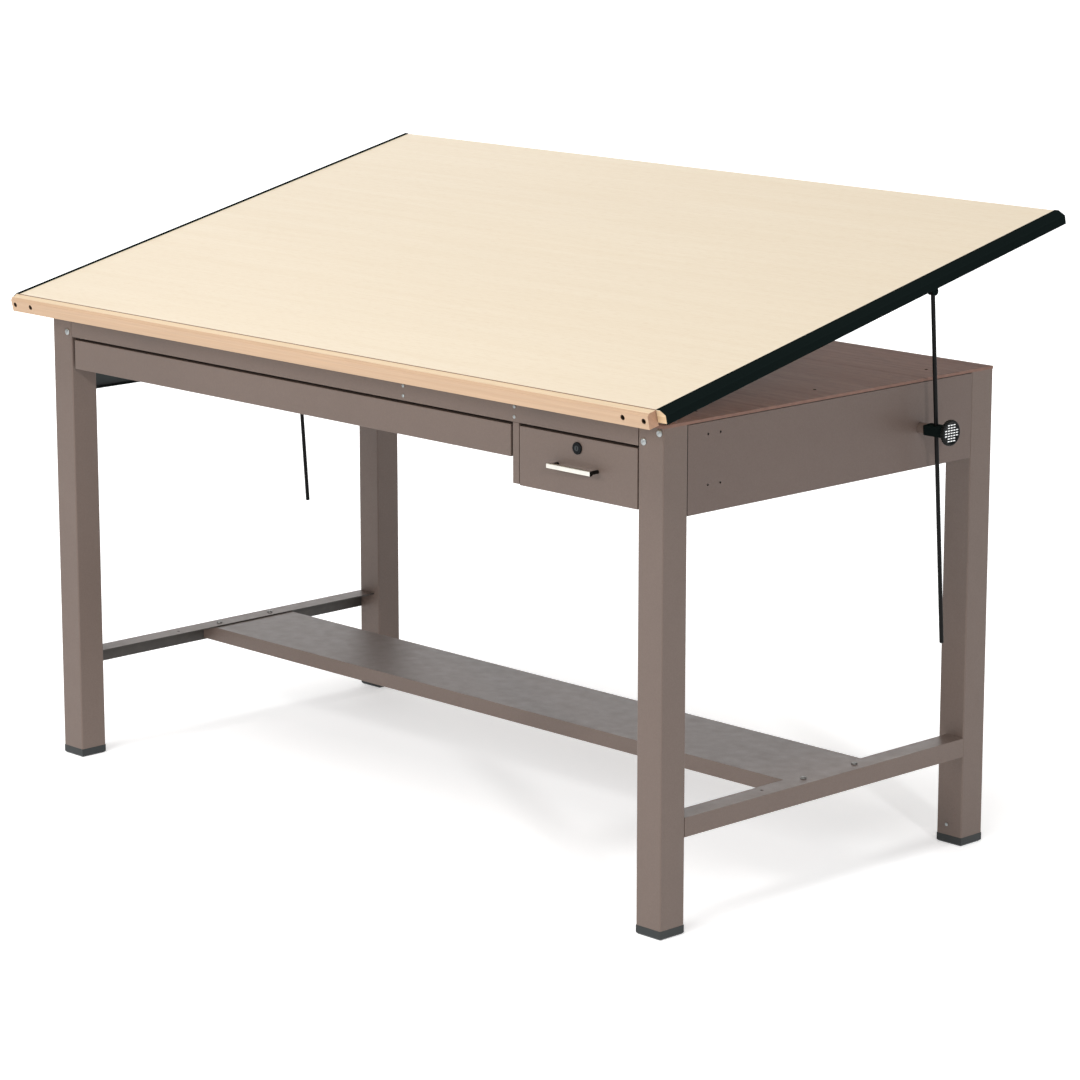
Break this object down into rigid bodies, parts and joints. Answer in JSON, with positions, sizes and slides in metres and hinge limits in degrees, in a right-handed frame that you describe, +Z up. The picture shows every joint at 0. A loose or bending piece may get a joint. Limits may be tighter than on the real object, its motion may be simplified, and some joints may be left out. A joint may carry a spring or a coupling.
{
  "type": "drafting table",
  "caption": "Four-post steel drafting table: tilting laminate board on hinges with clamped support rods, a wide shallow drawer, a lockable tool drawer and a foot shelf.",
  "frame": {"origin": "on the floor under the middle of the whole table with the board at its stored tilt", "axes": "+X along the table front towards the lockable drawer, +Y from the front to the rear, +Z up"},
  "size_m": [1.8622, 1.0764, 1.1957],
  "materials": {
    "body_paint": "satin taupe enamel",
    "frame_black": "black satin enamel",
    "foot_plastic": "black moulded",
    "top_panel": "reddish brown printed laminate, satin",
    "board_face": "pale wood-pattern laminate, satin",
    "board_wood": "sawn board, unfinished edge",
    "strip_wood": "sealed light hardwood",
    "zinc": "bright zinc",
    "nickel": "satin nickel",
    "lock_black": "black satin",
    "galvanised": "galvanised",
    "knob_plastic": "black moulded, ribbed",
    "rubber": "black matt"
  },
  "bodies": {
    "base": {"leg_front_left": "body_paint", "foot_front_left": "foot_plastic", "leg_front_right": "body_paint", "foot_front_right": "foot_plastic", "leg_rear_left": "body_paint", "foot_rear_left": "foot_plastic", "leg_rear_right": "body_paint", "foot_rear_right": "foot_plastic", "side_panel_left": "body_paint", "lower_rail_left": "body_paint", "clamp_bush_left": "body_paint", "hinge_base_left": "frame_black", "shallow_slide_left": "galvanised", "tool_slide_left": "galvanised", "side_panel_right": "body_paint", "lower_rail_right": "body_paint", "clamp_bush_right": "body_paint", "hinge_base_right": "frame_black", "shallow_slide_right": "galvanised", "tool_slide_right": "galvanised", "front_rail": "body_paint", "rear_panel": "body_paint", "drawer_divider": "body_paint", "foot_shelf": "body_paint", "base_top": "top_panel", "base_top_screws": "frame_black", "leg_screws": "zinc", "small_screws": "zinc", "shelf_bolts": "zinc", "hinge_pins": "zinc"},
    "board": {"board_core": "board_wood", "board_laminate": "board_face", "front_strip": "strip_wood", "strip_screws": "frame_black", "rest_buffers": "rubber", "rod_pins": "frame_black", "end_cleat_left": "frame_black", "hinge_board_left": "frame_black", "rod_bracket_left": "frame_black", "end_cleat_right": "frame_black", "hinge_board_right": "frame_black", "rod_bracket_right": "frame_black"},
    "shallow_drawer": {"shallow_drawer_front": "body_paint", "shallow_drawer_tray": "body_paint"},
    "tool_drawer": {"tool_drawer_front": "body_paint", "tool_drawer_tray": "body_paint", "tool_drawer_pull": "nickel", "lock_barrel": "lock_black"},
    "lock": {"lock_plug": "lock_black", "lock_cam": "zinc"},
    "rod_left": {"support_rod_left": "frame_black"},
    "clamp_left": {"clamp_block_left": "frame_black", "clamp_nut_left": "zinc"},
    "knob_left": {"knob_left": "knob_plastic", "knob_screw_left": "zinc"},
    "rod_right": {"support_rod_right": "frame_black"},
    "clamp_right": {"clamp_block_right": "frame_black", "clamp_nut_right": "zinc"},
    "knob_right": {"knob_right": "knob_plastic", "knob_screw_right": "zinc"}
  },
  "joints": [
    {"name": "board_tilt", "type": "hinge", "parent": "base", "child": "board", "pos_m": [0, -0.48746, 0.925], "axis": [1, 0, 0], "range_deg": [-12.92, 32.08]},
    {"name": "rod_swing_left", "type": "hinge", "parent": "board", "child": "rod_left", "pos_m": [-0.894, 0.18758, 1.07996], "axis": [1, 0, 0], "range_deg": [-17.6, 7.4]},
    {"name": "clamp_swivel_left", "type": "hinge", "parent": "base", "child": "clamp_left", "pos_m": [-0.894, 0.20574, 0.824], "axis": [1, 0, 0], "range_deg": [-6.4, 15.3]},
    {"name": "knob_turn_left", "type": "hinge", "parent": "clamp_left", "child": "knob_left", "pos_m": [-0.92, 0.20574, 0.824], "axis": [-1, 0, 0], "range_deg": [0, 360]},
    {"name": "rod_swing_right", "type": "hinge", "parent": "board", "child": "rod_right", "pos_m": [0.894, 0.18758, 1.07996], "axis": [1, 0, 0], "range_deg": [-17.6, 7.4]},
    {"name": "clamp_swivel_right", "type": "hinge", "parent": "base", "child": "clamp_right", "pos_m": [0.894, 0.20574, 0.824], "axis": [1, 0, 0], "range_deg": [-6.4, 15.3]},
    {"name": "knob_turn_right", "type": "hinge", "parent": "clamp_right", "child": "knob_right", "pos_m": [0.92, 0.20574, 0.824], "axis": [1, 0, 0], "range_deg": [0, 360]},
    {"name": "shallow_drawer_slide", "type": "slide", "parent": "base", "child": "shallow_drawer", "axis": [0, -1, 0], "range_m": [0, 0.45]},
    {"name": "tool_drawer_slide", "type": "slide", "parent": "base", "child": "tool_drawer", "axis": [0, -1, 0], "range_m": [0, 0.3]},
    {"name": "lock_turn", "type": "hinge", "parent": "tool_drawer", "child": "lock", "pos_m": [0.64825, -0.46246, 0.8469], "axis": [0, -1, 0], "range_deg": [0, 90]}
  ],
  "couplings": [
    {"joint": "rod_swing_left", "follows": "board_tilt", "ratio": -0.5355},
    {"joint": "clamp_swivel_left", "follows": "board_tilt", "ratio": 0.4645},
    {"joint": "rod_swing_right", "follows": "board_tilt", "ratio": -0.5355},
    {"joint": "clamp_swivel_right", "follows": "board_tilt", "ratio": 0.4645}
  ]
}
